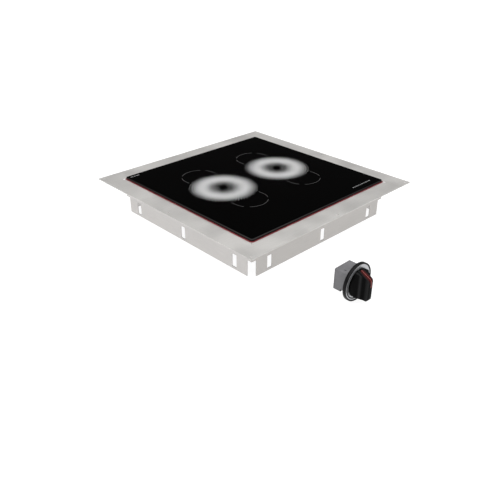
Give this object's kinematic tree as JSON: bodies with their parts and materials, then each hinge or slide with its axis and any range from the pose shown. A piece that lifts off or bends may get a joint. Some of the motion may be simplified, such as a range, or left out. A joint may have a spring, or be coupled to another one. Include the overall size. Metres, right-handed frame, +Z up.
{
  "type": "built-in induction hob",
  "caption": "Drop-in induction hob: square black glass with two round cooking zones in a steel frame with slotted skirts, and a separate rotary control.",
  "frame": {"origin": "centre of the glass's top face, where pans stand", "axes": "+Z up, out of the glass; +X to the right and -Y to the front, where the cook and the rotary control are"},
  "size_m": [0.485, 0.6459, 0.0802],
  "materials": {
    "stainless": "fine brushed",
    "black_glass": "polished, opaque black",
    "red_silicone": "satin",
    "galvanised": "dull zinc",
    "mica": "matte",
    "copper": "enamelled wire",
    "white_plastic": "satin",
    "ferrite": "matte",
    "zinc_steel": "bright zinc",
    "board": "satin",
    "aluminium": "satin",
    "black_plastic": "satin",
    "blue_plastic": "glossy",
    "silver_plate": "satin",
    "grey_plastic": "fine matte",
    "red_plastic": "satin"
  },
  "bodies": {
    "root": {"flange_plate": "stainless", "skirt_front": "stainless", "skirt_back": "stainless", "skirt_left": "stainless", "skirt_right": "stainless", "glass_plate": "black_glass", "glass_seal": "red_silicone", "coil_tray": "galvanised", "electronics_pan": "galvanised", "mica_disc_left": "mica", "litz_coil_left": "copper", "coil_former_left": "white_plastic", "temperature_sensor_left": "white_plastic", "ferrite_bar_left_1": "ferrite", "ferrite_bar_left_2": "ferrite", "ferrite_bar_left_3": "ferrite", "ferrite_bar_left_4": "ferrite", "coil_spring_left_1": "zinc_steel", "coil_spring_left_2": "zinc_steel", "coil_spring_left_3": "zinc_steel", "mica_disc_right": "mica", "litz_coil_right": "copper", "coil_former_right": "white_plastic", "temperature_sensor_right": "white_plastic", "ferrite_bar_right_1": "ferrite", "ferrite_bar_right_2": "ferrite", "ferrite_bar_right_3": "ferrite", "ferrite_bar_right_4": "ferrite", "coil_spring_right_1": "zinc_steel", "coil_spring_right_2": "zinc_steel", "coil_spring_right_3": "zinc_steel", "power_board": "board", "control_board": "board", "heatsink": "aluminium", "igbt_1": "black_plastic", "igbt_2": "black_plastic", "bridge_rectifier": "black_plastic", "fan_frame": "black_plastic", "cable_gland": "black_plastic", "dial_bezel": "black_plastic", "filter_capacitor": "blue_plastic", "resonant_capacitor": "blue_plastic", "filter_choke": "copper", "mains_terminal_block": "white_plastic", "control_socket": "white_plastic", "rotary_switch": "white_plastic", "lead_socket": "white_plastic", "fan_guard": "zinc_steel", "pan_screw_1": "zinc_steel", "pan_screw_2": "zinc_steel", "pan_screw_3": "zinc_steel", "pan_screw_4": "zinc_steel", "scale_plate": "silver_plate", "control_housing": "grey_plastic", "housing_cover": "grey_plastic"},
    "knob": {"knob": "black_plastic", "pointer_insert": "red_plastic", "switch_shaft": "aluminium"},
    "fan": {"fan_rotor": "black_plastic"}
  },
  "joints": [
    {"name": "knob_turn", "type": "hinge", "parent": "root", "child": "knob", "pos_m": [-0.1177, -0.376, -0.0428], "axis": [0, 1, 0], "range_deg": [0, 270]},
    {"name": "fan_spin", "type": "hinge", "parent": "root", "child": "fan", "pos_m": [-0.095, 0.07, -0.0615], "axis": [0, 0, 1], "continuous": true}
  ]
}
